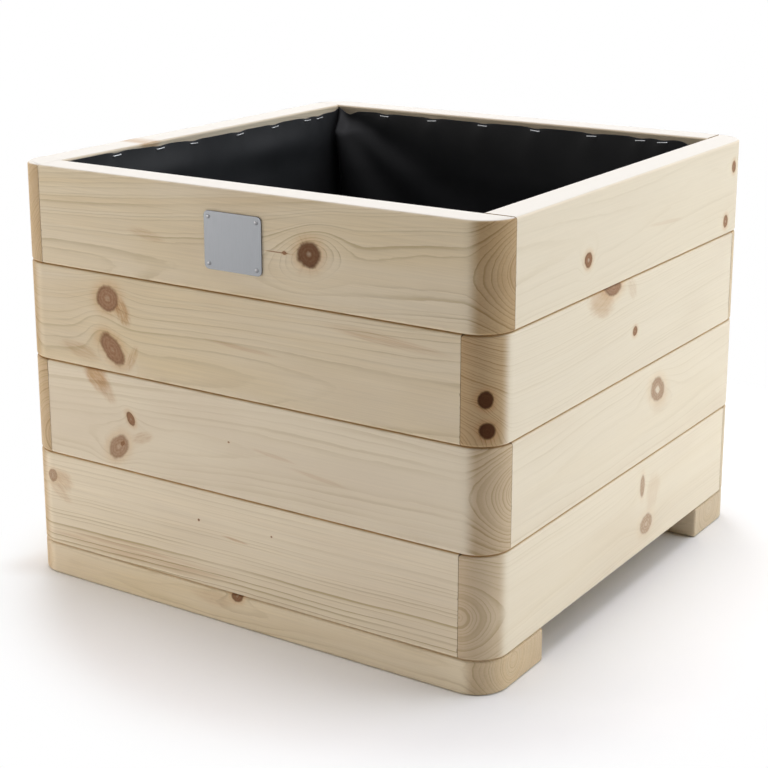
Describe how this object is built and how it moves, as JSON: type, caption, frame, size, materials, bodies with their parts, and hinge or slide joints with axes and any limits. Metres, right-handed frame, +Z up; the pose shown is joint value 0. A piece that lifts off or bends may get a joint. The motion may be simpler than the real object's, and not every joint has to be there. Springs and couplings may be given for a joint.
{
  "type": "planter box",
  "caption": "Square planter box of planed softwood boards with alternately lapped, rounded corners, standing on runners, with a slatted floor and a stapled black film liner.",
  "frame": {"origin": "centre of the box's footprint, on the ground", "axes": "+X along the front to the right as seen from the front, +Y from the front to the back, +Z up"},
  "size_m": [0.5, 0.5013, 0.3912],
  "materials": {
    "spruce_board": "planed and sanded, untreated",
    "spruce_floor": "sawn and planed, untreated",
    "beech_dowel": "plain",
    "black_film": "satin film",
    "matt_aluminium": "matt"
  },
  "bodies": {
    "root": {"front_board_1": "spruce_board", "front_board_2": "spruce_board", "front_board_3": "spruce_board", "front_board_4": "spruce_board", "right_board_1": "spruce_board", "right_board_2": "spruce_board", "right_board_3": "spruce_board", "right_board_4": "spruce_board", "back_board_1": "spruce_board", "back_board_2": "spruce_board", "back_board_3": "spruce_board", "back_board_4": "spruce_board", "left_board_1": "spruce_board", "left_board_2": "spruce_board", "left_board_3": "spruce_board", "left_board_4": "spruce_board", "front_runner": "spruce_board", "back_runner": "spruce_board", "floor_slat_1": "spruce_floor", "floor_slat_2": "spruce_floor", "floor_slat_3": "spruce_floor", "floor_slat_4": "spruce_floor", "dowel_front_right_1": "beech_dowel", "dowel_front_right_2": "beech_dowel", "dowel_front_right_3": "beech_dowel", "dowel_back_right_1": "beech_dowel", "dowel_back_right_2": "beech_dowel", "dowel_back_right_3": "beech_dowel", "dowel_back_left_1": "beech_dowel", "dowel_back_left_2": "beech_dowel", "dowel_back_left_3": "beech_dowel", "dowel_front_left_1": "beech_dowel", "dowel_front_left_2": "beech_dowel", "dowel_front_left_3": "beech_dowel", "liner": "black_film", "front_plate": "matt_aluminium"}
  },
  "joints": []
}
